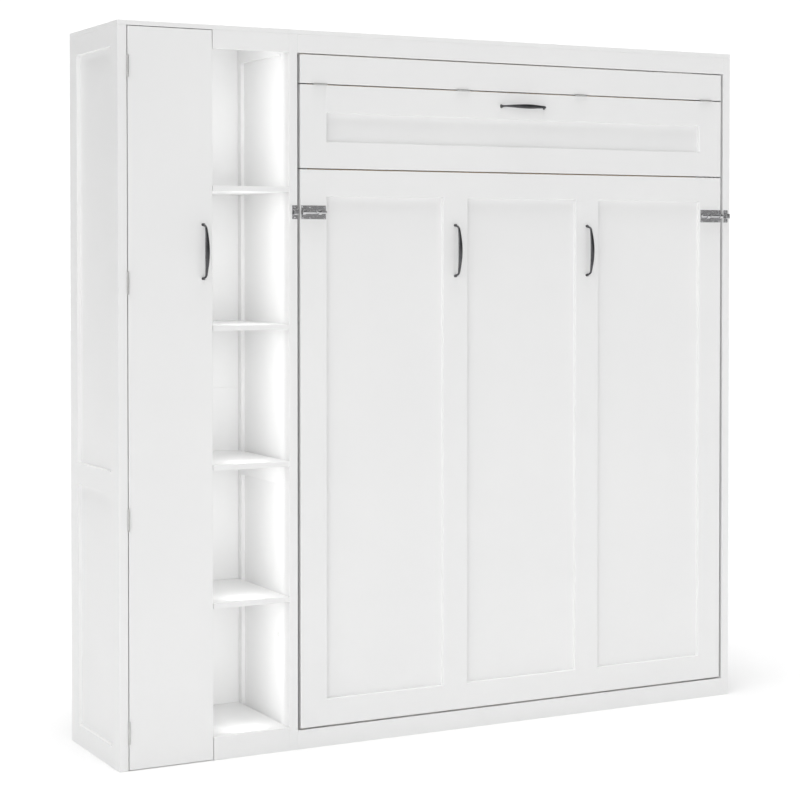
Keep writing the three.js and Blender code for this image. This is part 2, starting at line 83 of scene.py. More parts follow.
class Wire:
    """A socket of a material's node tree: arithmetic adds Math nodes, and node() adds the rest."""

    def __init__(self, tree, socket=None):
        self.tree = tree
        self.socket = socket

    def node(self, kind, settings=None, inputs=None, output=0):
        """A new node: its settings first, then the values or wires of its sockets."""
        made = self.tree.nodes.new(kind)
        for key, value in (settings or {}).items():
            setattr(made, key, value)
        for key, value in (inputs or {}).items():
            if isinstance(value, Wire):
                self.tree.links.new(value.socket, made.inputs[key])
            else:
                made.inputs[key].default_value = value
        return Wire(self.tree, made.outputs[output])

    def math(self, operation, *values):
        inputs = dict(enumerate(values))
        return self.node("ShaderNodeMath", {"operation": operation}, inputs)

    def __add__(self, other):
        return self.math("ADD", self, other)

    def __sub__(self, other):
        return self.math("SUBTRACT", self, other)

    def __rsub__(self, other):
        return self.math("SUBTRACT", other, self)

    def __mul__(self, other):
        return self.math("MULTIPLY", self, other)

    __radd__ = __add__
    __rmul__ = __mul__

    def clamped(self, low, high):
        """This value stretched so that low becomes 0 and high becomes 1, and held between them."""
        inputs = {"Value": self, "From Min": low, "From Max": high}
        return self.node("ShaderNodeMapRange", {"clamp": True}, inputs)

    def mixed(self, dark, light):
        """The first colour where this value is 0, and the second where it is 1."""
        inputs = {"Factor": self, 6: dark, 7: light}
        return self.node("ShaderNodeMix", {"data_type": "RGBA"}, inputs, 2)

    def place(self, scale=(1, 1, 1), turn=(0, 0, 0)):
        """Object coordinates in metres, turned and then scaled."""
        spot = self.node("ShaderNodeTexCoord", output=3)
        return self.node("ShaderNodeMapping", {}, {"Vector": spot, "Rotation": turn, "Scale": scale})

    def noise(self, spot, scale, detail=2.0, roughness=0.5):
        inputs = {"Vector": spot, "Scale": scale, "Detail": detail, "Roughness": roughness}
        return self.node("ShaderNodeTexNoise", {}, inputs)

    def bump(self, height, strength, distance):
        inputs = {"Height": height, "Strength": strength, "Distance": distance}
        return self.node("ShaderNodeBump", {}, inputs)


def finish_material(name, metallic, specular, build):
    """A material whose colour, roughness and normal come from build(wire), and the rest is constant."""
    material = bpy.data.materials.new(name)
    material.use_nodes = True
    tree = material.node_tree
    shader = tree.nodes["Principled BSDF"]
    shader.inputs["Metallic"].default_value = metallic
    shader.inputs["Specular IOR Level"].default_value = specular
    for socket, wire in zip(("Base Color", "Roughness", "Normal"), build(Wire(tree))):
        tree.links.new(wire.socket, shader.inputs[socket])
    return material


def sprayed_white(wire):
    """Satin spray paint on fibreboard: a fine orange-peel skin, and faint clouds in tone and gloss."""
    spot = wire.place()
    peel = wire.noise(spot, 520.0, 2.0, 0.55)
    sag = wire.noise(spot, 60.0, 2.0)
    cloud = wire.noise(spot, 2.6, 3.0)
    speck = wire.noise(spot, 240.0, 1.0).clamped(0.70, 0.80)
    tone = cloud.clamped(0.3, 0.7).mixed((0.862, 0.863, 0.862, 1), (0.878, 0.878, 0.875, 1))
    tone = (speck * 0.35).mixed(tone, (0.820, 0.818, 0.808, 1))
    gloss = 0.34 + 0.10 * cloud + 0.06 * peel
    return tone, gloss, wire.bump(peel + 1.6 * sag, 0.10, 0.0004)


WHITE = finish_material("satin_white_spray", 0.0, 0.42, sprayed_white)


def merged(points, faces):
    """The same shell with points that coincide, to a hundredth of a micron, made one."""
    _, first, index = np.unique(np.round(points, 8), axis=0, return_index=True, return_inverse=True)
    index = index.reshape(-1)
    kept = [tuple(dict.fromkeys(index[list(face)])) for face in faces]
    return points[first], [face for face in kept if len(face) > 2]


def add_piece(name, shells, material, body, replaced=(), crease=38.0):
    """One object from closed shells of (points, faces), shaded smooth except across sharper edges."""
    points = np.concatenate([shell[0] for shell in shells])
    starts = np.cumsum([0] + [len(shell[0]) for shell in shells[:-1]])
    faces = [tuple(int(i) + int(s) for i in face) for s, shell in zip(starts, shells) for face in shell[1]]
    mesh = bpy.data.meshes.new(name)
    mesh.from_pydata(points.tolist(), [], faces)
    mesh.polygons.foreach_set("use_smooth", np.ones(len(faces), bool))
    mesh.set_sharp_from_angle(angle=radians(crease))
    mesh.materials.append(material)
    mesh.update()
    piece = bpy.data.objects.new(name, mesh)
    scene.collection.objects.link(piece)
    level = piece.modifiers.new("flat faces stay flat", "WEIGHTED_NORMAL")
    level.keep_sharp = True
    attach(piece, body)
    if replaced:
        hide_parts(*replaced)
    return piece


def grid_faces(rows, columns, closed_rows=False):
    """Quads over a grid of rows x columns points, numbered row by row; closed_rows joins each row's ends."""
    wide = columns if closed_rows else columns - 1
    r, c = np.meshgrid(np.arange(rows - 1), np.arange(wide), indexing="ij")
    n = (c + 1) % columns
    quads = np.stack([r * columns + c, r * columns + n, (r + 1) * columns + n, (r + 1) * columns + c], -1)
    return [tuple(q) for q in quads.reshape(-1, 4)]


ARC = np.tan(np.radians([0, 15, 30, 45]))


def board(low, high, radius=1.2 * MM, lines=((), (), ()), shape=None):
    """A board with rounded edges and corners, as (points, faces).

    Each of a box's six faces is a grid of two parameters. A grid point is moved to radius from the
    nearest point of the box shrunk by radius, and the lines nearest the edges stand at even angles
    of that quarter round. lines adds grid lines along X, Y and Z, and shape(points) moves the points
    last, so a sunk field or a groove is a displacement of the same grid.
    """
    low, high = np.array(low, float), np.array(high, float)
    inner_low, inner_high = low + radius, high - radius
    lists = [
        np.unique(np.concatenate([inner_low[k] - radius * ARC, inner_high[k] + radius * ARC, lines[k]]))
        for k in range(3)
    ]
    points, faces, count = [], [], 0
    for axis in range(3):
        across, up = (axis + 1) % 3, (axis + 2) % 3
        u, v = np.meshgrid(lists[across], lists[up], indexing="ij")
        for end in (low[axis], high[axis]):
            sheet = np.empty((u.size, 3))
            sheet[:, across], sheet[:, up], sheet[:, axis] = u.ravel(), v.ravel(), end
            turn = -1 if end == high[axis] else 1
            points.append(sheet)
            faces += [tuple(i + count for i in quad[::turn]) for quad in grid_faces(*u.shape)]
            count += len(sheet)
    points = np.concatenate(points)
    nearest = np.clip(points, inner_low, inner_high)
    away = points - nearest
    points = nearest + radius * away / np.linalg.norm(away, axis=1, keepdims=True)
    points, faces = merged(points, faces)
    return (points if shape is None else shape(points)), faces


# The step from a stile down to its field: a quarter round, a wall, and a quarter-round fillet.
STEP_ROUND = 1.1 * MM
STEP_DRAFT = 0.25 * MM
STEP_FILLET = 0.9 * MM
STEP_DEPTH = 12 * MM
QUARTER = np.radians([0, 30, 60, 90])
step_run = np.concatenate([
    STEP_ROUND * np.sin(QUARTER),
    STEP_ROUND + STEP_DRAFT + STEP_FILLET * (1 - np.cos(QUARTER)),
])
step_drop = np.concatenate([
    STEP_ROUND * (1 - np.cos(QUARTER)),
    STEP_DEPTH - STEP_FILLET * (1 - np.sin(QUARTER)),
])
JOINT_HALF = 0.45 * MM
JOINT_DEPTH = 0.30 * MM


def shaker_panel(low, high, axis, outward, fields):
    """A board whose outer face has fields sunk between stiles and rails, as (points, faces).

    A field is (near, far, bottom, top), across and up the panel. A point's depth is the step's
    profile at its least distance inside a field's four edges, so the corners mitre. A hairline
    groove, a V in section, shows where the rails butt against the two outer stiles, and where
    stiles between fields butt against the rails.
    """
    across = 1 - axis
    face = high[axis] if outward > 0 else low[axis]
    left, right, bottom, top = np.array(fields).T
    steps = ([left, right], [bottom, top])
    lines = [(), (), ()]
    for k, (starts, ends) in zip((across, 2), steps):
        near = [edge + d for edge in (*starts, *ends) for d in (-JOINT_HALF, JOINT_HALF)]
        ramps = [*(start + step_run for start in starts), *(end - step_run for end in ends)]
        lines[k] = np.unique(np.round(np.concatenate([near, *ramps]), 7))

    def hairline(distance):
        return JOINT_DEPTH * np.clip(1 - np.min(np.abs(distance), axis=1) / JOINT_HALF, 0, 1)

    def sink(points):
        on_face = np.abs(points[:, axis] - face) < 1e-7
        u, v = points[:, across, None], points[:, 2, None]
        inside = np.min([u - left, right - u, v - bottom, top - v], axis=0).max(axis=1)
        depth = np.interp(inside, step_run, step_drop, left=0.0)
        past_ends = np.all((v < bottom - 1e-6) | (v > top + 1e-6), axis=1)
        between = np.all((u < left - 1e-6) | (u > right + 1e-6), axis=1)
        between &= (u[:, 0] > left.min()) & (u[:, 0] < right.max())
        depth += past_ends * hairline(u - np.array([left.min(), right.max()]))
        depth += between * hairline(v - np.array([bottom[0], top[0]]))
        moved = points.copy()
        moved[:, axis] -= outward * np.where(on_face, depth, 0)
        return moved

    return board(low, high, 1.2 * MM, lines, sink)


SIDE_STILE = 65 * MM
SIDE_BOTTOM_RAIL = 62 * MM
SIDE_TOP_RAIL = 57 * MM
SIDE_MIDDLE_RAIL = (810 * MM, 874 * MM)

for node, outward in (("left_end_panel", -1), ("bed_left_panel", -1), ("bed_right_panel", 1)):
    low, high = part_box(node)
    near, far = low.y + SIDE_STILE, high.y - SIDE_STILE
    lower = (near, far, SIDE_BOTTOM_RAIL, SIDE_MIDDLE_RAIL[0])
    upper = (near, far, SIDE_MIDDLE_RAIL[1], high.z - SIDE_TOP_RAIL)
    fields = [lower, upper]
    shell = shaker_panel(low, high, 0, outward, fields)
    add_piece(node + "_finished", [shell], WHITE, "cabinet", [node])

# ---- Side cabinet boards -----------------------------------------------------------------------
# Top, header, base rail, bottom, divider, two-part back and five shelves, of the same white board.
# Their edges are eased by hand, and they are joined with dowels and cams that don't show.
SIDE_BOARDS = ["side_top", "side_header", "side_base_rail", "side_bottom", "side_divider"]
SIDE_BOARDS += ["side_back_lower", "side_back_upper", "wardrobe_shelf"]
SIDE_BOARDS += [f"bay_shelf_{i}" for i in (1, 2, 3, 4)]


def add_boards(nodes, body, radius=1.0 * MM):
    for node in nodes:
        shell = board(*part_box(node), radius)
        add_piece(node + "_finished", [shell], WHITE, body, [node])


add_boards(SIDE_BOARDS, "cabinet")

# ---- Hanging rail ------------------------------------------------------------------------------
# A plated steel tube across the wardrobe, held at each end in a pressed cup that is fixed with
# two small screws. The cups slip over the tube before it goes in.


def turned(profile, centre, along, sides=32, start=0.0):
    """A shape turned on an axis, as (points, faces): (distance, radius) pairs carried round a circle.

    A point at angle a is centre + distance*axis + radius*(cos a, sin a) in the two cross directions.
    A radius of 0 at the first or last pair closes that end in a pole.
    """
    axis = np.array(along, float)
    axis /= np.linalg.norm(axis)
    side = np.cross(axis, (0, 0, 1) if abs(axis[2]) < 0.9 else (1, 0, 0))
    side /= np.linalg.norm(side)
    other = np.cross(axis, side)
    angle = start + np.arange(sides) * 2 * pi / sides
    ring = np.cos(angle)[:, None] * side + np.sin(angle)[:, None] * other
    profile = np.array(profile, float)
    points = np.array(centre, float) + profile[:, None, :1] * axis + profile[:, None, 1:] * ring
    return merged(points.reshape(-1, 3), grid_faces(len(profile), sides, True))


def brushed_steel(colour, rough, scale, strength):
    """Builds a metal with fine lines from its grinding, stretched along one axis of the piece."""

    def build(wire):
        grain = wire.noise(wire.place(scale), 900.0, 3.0, 0.7)
        smear = wire.noise(wire.place(), 35.0, 3.0)
        dark = tuple(0.82 * c for c in colour) + (1,)
        tone = (0.6 * grain + 0.4 * smear).clamped(0.3, 0.7).mixed(dark, colour + (1,))
        return tone, rough + 0.14 * grain + 0.08 * smear, wire.bump(grain, strength, 0.0001)

    return build


BRIGHT_STEEL = finish_material(
    "plated_steel", 1.0, 0.5, brushed_steel((0.72, 0.73, 0.74), 0.16, (0.05, 1, 1), 0.12)
)


def screw_head(centre, along, radius=3.4 * MM, dome=1.5 * MM, turn=0.4):
    """A cross-recessed pan head, as (points, faces), on a grid of radius and angle.

    The height is a dome, dome*sqrt(1 - (r/R)^2) flattened in the middle, less a cross-shaped recess
    that is deepest at the centre; the rim drops straight to the seat.
    """
    axis = np.array(along, float)
    side = np.cross(axis, (0, 0, 1) if abs(axis[2]) < 0.9 else (1, 0, 0))
    side /= np.linalg.norm(side)
    other = np.cross(axis, side)
    share = np.array([0.0, 0.1, 0.2, 0.3, 0.42, 0.54, 0.66, 0.8, 0.92, 1.0])
    angle = np.arange(32) * 2 * pi / 32
    s, a = np.meshgrid(share, angle, indexing="ij")
    x, y = s * np.cos(a - turn), s * np.sin(a - turn)
    arm = np.maximum((np.abs(x) < 0.13) & (np.abs(y) < 0.6), (np.abs(y) < 0.13) & (np.abs(x) < 0.6))
    height = dome * (0.35 + 0.65 * np.sqrt(1 - s**2)) - 0.55 * dome * arm * (1 - 0.4 * s)
    height = np.vstack([height, np.zeros((1, 32)), np.zeros((1, 32))])
    s = np.vstack([s, np.ones((1, 32)), np.zeros((1, 32))])
    a = np.vstack([a, a[:1], a[:1]])
    spot = (
        np.array(centre, float)
        + height[..., None] * axis
        + radius * s[..., None] * (np.cos(a)[..., None] * side + np.sin(a)[..., None] * other)
    )
    points, faces = merged(spot.reshape(-1, 3), grid_faces(len(spot), 32, True))
    return points, [face[::-1] for face in faces]


low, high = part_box("hanging_rail")
rail_radius = (high.z - low.z) / 2
rail_y, rail_z = (low.y + high.y) / 2, (low.z + high.z) / 2
rail_profile = [(0, 0), (0, rail_radius), (high.x - low.x, rail_radius), (high.x - low.x, 0)]
tube = turned(rail_profile, (low.x, rail_y, rail_z), (1, 0, 0), 48)
add_piece("hanging_rail_tube", [tube], BRIGHT_STEEL, "cabinet", ["hanging_rail"])
CUP_RADIUS = 19 * MM
CUP_DEPTH = 9 * MM
CUP_SLEEVE = 2 * MM
CUP_SCREW_SEAT = 2.0 * MM
CUP_SCREW_OFFSET = 16.4 * MM
CUP_SCREW = (2.2 * MM, 1.1 * MM)
for word, end, inward in (("left", low.x, 1), ("right", high.x, -1)):
    sleeve = rail_radius + CUP_SLEEVE
    cup = [(0, rail_radius), (0, CUP_RADIUS - 0.6 * MM), (0.6 * MM, CUP_RADIUS), (1.6 * MM, CUP_RADIUS)]
    cup += [(2.2 * MM, CUP_RADIUS - 0.6 * MM), (2.2 * MM, sleeve + 1 * MM), (3.2 * MM, sleeve)]
    cup += [(CUP_DEPTH - 0.5 * MM, sleeve), (CUP_DEPTH, sleeve - 0.5 * MM), (CUP_DEPTH, rail_radius)]
    shells = [turned(cup + cup[:1], (end, rail_y, rail_z), (inward, 0, 0), 48)]
    for offset in (-1, 1):
        seat = (end + inward * CUP_SCREW_SEAT, rail_y + offset * CUP_SCREW_OFFSET, rail_z)
        shells.append(screw_head(seat, (inward, 0, 0), *CUP_SCREW))
    add_piece(f"rail_cup_{word}", shells, BRIGHT_STEEL, "cabinet")

# ---- Wardrobe door -----------------------------------------------------------------------------
# One flat 16 mm slab over the whole height of the side cabinet, its edges eased, painted like the
# rest. It hangs on four butt hinges along its left edge.
add_boards(["wardrobe_door"], "door", 1.5 * MM)

# ---- Butt hinges -------------------------------------------------------------------------------
# Small satin-nickel butt hinges: two leaves with three knuckles on one and two on the other, round
# one pin. Each leaf lies in the gap between its two boards and is screwed to one of them.
NICKEL = finish_material(
    "satin_nickel", 1.0, 0.5, brushed_steel((0.60, 0.60, 0.59), 0.26, (1, 1, 0.08), 0.10)
)
KNUCKLES = 5
KNUCKLE_GAP = 0.35 * MM
BARREL_RADIUS = 3.0 * MM
LEAF = 1.0 * MM
PIN_RADIUS = 2.1 * MM
PIN_HEAD = 0.9 * MM
LEAF_SCREW = (2.6 * MM, 0.3 * MM)
LEAF_SCREW_SPREAD = 0.86


def knuckle(start, end, centre, along):
    """One rolled knuckle: a barrel profile with its edges broken, turned on the pin's axis."""
    edge = 0.25 * MM
    profile = [(start, 0), (start, BARREL_RADIUS - edge), (start + edge, BARREL_RADIUS)]
    profile += [(end - edge, BARREL_RADIUS), (end, BARREL_RADIUS - edge), (end, 0)]
    return turned(profile, centre, along, 24)


def add_hinge(node, run, thin, fixed_side, moving_side, leaf_end, bodies, screws):
    """A butt hinge for a CAD leaf and barrel, with the moving leaf as a piece of its own.

    run is the pin's axis and thin the axis across the gap. fixed_side and moving_side are the two
    boards' faces there, and each leaf lies on its own.
    """
    low, high = (np.array(corner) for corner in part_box(node))
    length = high[run] - low[run]
    pitch = length / KNUCKLES
    centre = (low + high) / 2
    centre[1] = low[1] + BARREL_RADIUS
    centre[thin] = (fixed_side + moving_side) / 2
    inward = np.sign(moving_side - fixed_side)
    along, across = np.eye(3)[run], np.eye(3)[thin]
    leaves = [("fixed", fixed_side, inward, (0, 2, 4)), ("moving", moving_side, -inward, (1, 3))]
    for word, face, sign, owned in leaves:
        leaf_low, leaf_high = low.copy(), high.copy()
        leaf_low[thin], leaf_high[thin] = sorted((face, face + sign * LEAF))
        leaf_low[1], leaf_high[1] = front_y - BARREL_RADIUS / 2, leaf_end
        shells = [board(leaf_low, leaf_high, 0.25 * MM)]
        for i in owned:
            start = -length / 2 + i * pitch + KNUCKLE_GAP / 2
            shells.append(knuckle(start, start + pitch - KNUCKLE_GAP, centre, along))
        for share in (np.arange(screws) + 0.5) / screws - 0.5:
            seat = centre + LEAF_SCREW_SPREAD * share * length * along
            seat[thin] = face + sign * LEAF
            seat[1] = (front_y + leaf_end) / 2
            shells.append(screw_head(seat, sign * across, *LEAF_SCREW, 0.4 + share))
        if word == "fixed":
            half = length / 2
            pin = [(-half - PIN_HEAD, 0), (-half - PIN_HEAD, 0.7 * PIN_RADIUS), (-half, PIN_RADIUS)]
            pin += [(half, PIN_RADIUS), (half + PIN_HEAD, 0.7 * PIN_RADIUS), (half + PIN_HEAD, 0)]
            shells.append(turned(pin, centre, along, 24))
        replaced = [node] if word == "fixed" else []
        body = bodies[0] if word == "fixed" else bodies[1]
        add_piece(f"{node}_{word}_leaf", shells, NICKEL, body, replaced)


door_low, door_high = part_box("wardrobe_door")
end_panel_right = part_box("left_end_panel")[1].x
for i in (1, 2, 3, 4):
    add_hinge(f"door_hinge_{i}", 2, 0, end_panel_right, door_low.x, door_high.y, ("cabinet", "door"), 3)

# ---- Bed cabinet boards ------------------------------------------------------------------------
# Top, header and base rail frame the opening in front. Behind, two rails take the wall screws and
# a thin board behind the pillow end stiffens the cabinet. The back is open between them.
BED_BOARDS = ["bed_cabinet_top", "bed_header", "bed_base_rail"]
BED_BOARDS += ["wall_rail_top", "headboard_panel", "wall_rail_bottom"]
add_boards(BED_BOARDS, "cabinet")
WALL_SCREW = (4.5 * MM, 1.4 * MM)
WALL_SCREW_SHARES = (0.06, 0.36, 0.64, 0.94)
for name, node in (("top", "wall_rail_top"), ("bottom", "wall_rail_bottom")):
    rail_low, rail_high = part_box(node)
    screw_z = (rail_low.z + rail_high.z) / 2
    shells = []
    for share in WALL_SCREW_SHARES:
        seat = (rail_low.x + share * (rail_high.x - rail_low.x), rail_low.y, screw_z)
        shells.append(screw_head(seat, (0, -1, 0), *WALL_SCREW, share * 7))
    add_piece(f"wall_screws_{name}", shells, BRIGHT_STEEL, "cabinet")

# ---- Bed face ----------------------------------------------------------------------------------
# The face that shows when the bed is shut is its underside: a tall panel of three framed fields,
# the fold-out leg panel with one long field, and a plain strip that the leg panel hangs from.
MAIN_STILE = 88 * MM
MAIN_MIDDLE_STILE = 86 * MM
MAIN_RAIL = 80 * MM
FOOT_TOP_RAIL = 83 * MM
FOOT_BOTTOM_RAIL = 80 * MM

low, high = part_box("main_panel")
field_width = (high.x - low.x - 2 * MAIN_STILE - 2 * MAIN_MIDDLE_STILE) / 3
lefts = low.x + MAIN_STILE + np.arange(3) * (field_width + MAIN_MIDDLE_STILE)
fields = [(x, x + field_width, low.z + MAIN_RAIL, high.z - MAIN_RAIL) for x in lefts]
shell = shaker_panel(low, high, 1, -1, fields)
add_piece("main_panel_finished", [shell], WHITE, "bed", ["main_panel"])

low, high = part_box("foot_panel")
fields = [(low.x + MAIN_STILE, high.x - MAIN_STILE, low.z + FOOT_BOTTOM_RAIL, high.z - FOOT_TOP_RAIL)]
shell = shaker_panel(low, high, 1, -1, fields)
add_piece("foot_panel_finished", [shell], WHITE, "foot_leg", ["foot_panel"])
add_boards(["top_strip"], "bed")

# ---- Leg panel hinges --------------------------------------------------------------------------
# Four short hinges of the same kind join the leg panel's upper edge to the strip above it, so that
# the panel swings out to stand on the floor as the bed comes down.
strip_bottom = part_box("top_strip")[0].z
leg_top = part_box("foot_panel")[1].z
for i in (1, 2, 3, 4):
    node = f"foot_hinge_{i}"
    add_hinge(node, 0, 2, strip_bottom, leg_top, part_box(node)[1].y, ("bed", "foot_leg"), 2)

# ---- Bed frame ---------------------------------------------------------------------------------
# Two side rails and two end boards round the mattress, painted white. The rails keep their own
# shape, with its ledge and pivot hole, and only have their edges eased.


def carry_over(node, material, radius):
    """A CAD piece that keeps its shape: its doubles are welded, its sharp edges eased, its finish set."""
    piece = frame["nodes"][node]
    weld = piece.modifiers.new("weld", "WELD")
    weld.merge_threshold = 0.01 * MM
    ease = piece.modifiers.new("ease", "BEVEL")
    ease.width = radius
    ease.segments = 2
    ease.limit_method = "ANGLE"
    ease.angle_limit = radians(40)
    ease.harden_normals = False
    for holder in piece.material_slots:
        holder.material = material


for side in ("left", "right"):
    carry_over(f"bed_rail_{side}", WHITE, 1.0 * MM)
add_boards(["head_end_board", "foot_end_board"], "bed")

# ---- Slats -------------------------------------------------------------------------------------
# Fourteen laminated birch slats lie on the rails' ledges and on a centre beam. Two woven straps,
# stapled to each slat, keep them at even spacing and let the set roll up for packing.


def sanded_birch(wire):
    """Pale wood with its grain along X, darker pores, and the glue lines of thin plies on cut edges."""
    spot = wire.place((1.6, 26.0, 26.0))
    figure = wire.noise(spot, 1.0, 5.0, 0.62)
    pores = wire.noise(wire.place((14.0, 420.0, 420.0)), 1.0, 2.0).clamped(0.56, 0.68)
    layers = {"Vector": wire.place(), "Scale": 105.0}
    ply = wire.node("ShaderNodeTexWave", {"bands_direction": "Y"}, layers)
    glue = ply.clamped(0.0, 0.12)
    tone = figure.clamped(0.32, 0.68).mixed((0.66, 0.47, 0.28, 1), (0.82, 0.66, 0.45, 1))
    tone = (pores * 0.30).mixed(tone, (0.42, 0.28, 0.15, 1))
    tone = (0.35 - 0.35 * glue).mixed(tone, (0.36, 0.22, 0.12, 1))
    return tone, 0.52 + 0.16 * figure + 0.08 * pores, wire.bump(pores * -0.5 + figure, 0.18, 0.0004)


def woven_strap(wire):
    """Polypropylene webbing: diagonal twill ribs along the strap, each a rounded thread, with painted shade
    in the grooves between them and painted highlight on their crowns.
    """
    twill = {"Vector": wire.place((1, 1, 1), (0, radians(24), 0)), "Scale": 190.0, "Distortion": 0.6}
    ribs = wire.node("ShaderNodeTexWave", {"bands_direction": "Z"}, twill)
    threads = {"Vector": wire.place(), "Scale": 160.0}
    warp = wire.node("ShaderNodeTexWave", {"bands_direction": "X"}, threads)
    weave_and_shade = ribs * 0.6 + warp * 0.4
    # The colour is painted shade and highlight: it follows the ribs' relief, darker in the grooves between
    # threads and lighter on their crowns.
    tone = weave_and_shade.mixed((0.030, 0.030, 0.034, 1), (0.105, 0.105, 0.112, 1))
    return tone, 0.72 - 0.18 * weave_and_shade, wire.bump(weave_and_shade, 0.6, 0.0004)


BIRCH = finish_material("sanded_birch", 0.0, 0.35, sanded_birch)
WEBBING = finish_material("woven_webbing", 0.0, 0.3, woven_strap)
SLATS = 14
SLAT_WIDTH = 70 * MM
SLAT_PITCH = 146 * MM
SLAT_THICKNESS = 12 * MM
STRAP_WIDTH = 28 * MM
STRAP_INSET = 62.5 * MM
STRAP_OVERHANG = 18 * MM
STRAP_LIFT = 0.75 * MM
STRAP_SAG = 2.2 * MM
STRAP_HALF_THICKNESS = 0.55 * MM
STRAP_STEPS = 12
STAPLE_OFFSET = 16 * MM
STAPLE_HALF_WIDTH = 5 * MM
STAPLE_HALF_WIRE = 0.4 * MM
STAPLE_HEIGHT = 1.9 * MM

low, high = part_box("slat_roll")
slat_back = low.y + SLAT_THICKNESS
middle = (low.z + high.z) / 2
heights = middle + (np.arange(SLATS) - (SLATS - 1) / 2) * SLAT_PITCH
slats = [
    board((low.x, low.y, z - SLAT_WIDTH / 2), (high.x, slat_back, z + SLAT_WIDTH / 2), 2.5 * MM)
    for z in heights
]
add_piece("slats", slats, BIRCH, "bed", ["slat_roll"])


def strap(x, start, end):
    """A flat strap along Z: a thin rounded section carried over the slats, sagging between them.

    Its height over the slats is sag*sin^2(pi*t), with t the share of the way between two slats.
    """
    z = np.linspace(start, end, (SLATS - 1) * STRAP_STEPS + 1)
    past_slat = (z - heights[0]) / SLAT_PITCH % 1 * SLAT_PITCH - SLAT_WIDTH / 2
    share = np.clip(past_slat / (SLAT_PITCH - SLAT_WIDTH), 0, 1)
    y = slat_back + STRAP_LIFT - STRAP_SAG * np.sin(pi * share) ** 2
    half, thick = STRAP_WIDTH / 2, STRAP_HALF_THICKNESS
    section = [(-half, -thick), (half, -thick), (half + thick / 2, 0)]
    section = np.array(section + [(half, thick), (-half, thick), (-half - thick / 2, 0)])
    points = np.empty((len(z), 6, 3))
    points[..., 0] = x + section[:, 0]
    points[..., 1] = y[:, None] + section[:, 1]
    points[..., 2] = z[:, None]
    faces = grid_faces(len(z), 6, True)
    faces += [tuple(range(6))[::-1], tuple(range(len(z) * 6 - 6, len(z) * 6))]
    return points.reshape(-1, 3), faces


straps, staples = [], []
for x in (low.x + STRAP_INSET, high.x - STRAP_INSET):
    straps.append(strap(x, heights[0] - STRAP_OVERHANG, heights[-1] + STRAP_OVERHANG))
    for z in heights:
        for lift in (-STAPLE_OFFSET, STAPLE_OFFSET):
            near = (x - STAPLE_HALF_WIDTH, slat_back, z + lift - STAPLE_HALF_WIRE)
            far = (x + STAPLE_HALF_WIDTH, slat_back + STAPLE_HEIGHT, z + lift + STAPLE_HALF_WIRE)
            staples.append(board(near, far, 0.3 * MM))
add_piece("slat_webbing", straps, WEBBING, "bed")
add_piece("slat_staples", staples, BRIGHT_STEEL, "bed")
shell = board(*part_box("centre_beam"), 1.5 * MM)
add_piece("centre_beam_finished", [shell], BIRCH, "bed", ["centre_beam"])

# ---- Pivots and strut brackets -----------------------------------------------------------------
# Powder-coated steel plates. On each side one plate with a welded pin is screwed to the cabinet,
# and one with a boss that turns on the pin is screwed to the bed rail; a bracket holds the strut.


def powder_coat(wire):
    """Black powder coat: a fine pebbled skin with a low, slightly uneven sheen."""
    pebble = wire.noise(wire.place(), 1400.0, 2.0)
    cloud = wire.noise(wire.place(), 30.0, 2.0)
    tone = (0.5 * pebble + 0.5 * cloud).mixed((0.016, 0.016, 0.018, 1), (0.045, 0.045, 0.048, 1))
    return tone, 0.36 + 0.18 * pebble, wire.bump(pebble, 0.35, 0.0002)


BLACK = finish_material("black_powder_coat", 0.0, 0.5, powder_coat)
SCREW_INSET = 9 * MM
PLATE_SCREW = (4.2 * MM, 1.6 * MM)
PIVOT_PLATE = 3.0 * MM
BRACKET_PLATE = 2.5 * MM
for side, inward in (("left", 1), ("right", -1)):
    for node, body, facing in (
        (f"pivot_plate_{side}", "cabinet", inward),
        (f"strut_bracket_{side}", "cabinet", inward),
        (f"bed_plate_{side}", "bed", -inward),
    ):
        carry_over(node, BLACK, 0.6 * MM)
        low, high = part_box(node)
        plate = PIVOT_PLATE if "plate" in node else BRACKET_PLATE
        face = (low.x if facing > 0 else high.x) + facing * plate
        across = (low.y + SCREW_INSET, high.y - SCREW_INSET)
        up = (low.z + SCREW_INSET, high.z - SCREW_INSET)
        seats = enumerate([(face, y, z) for y in across for z in up])
        shells = [screw_head(seat, (facing, 0, 0), *PLATE_SCREW, i * 0.7) for i, seat in seats]
        add_piece(f"{node}_screws", shells, BRIGHT_STEEL, body)

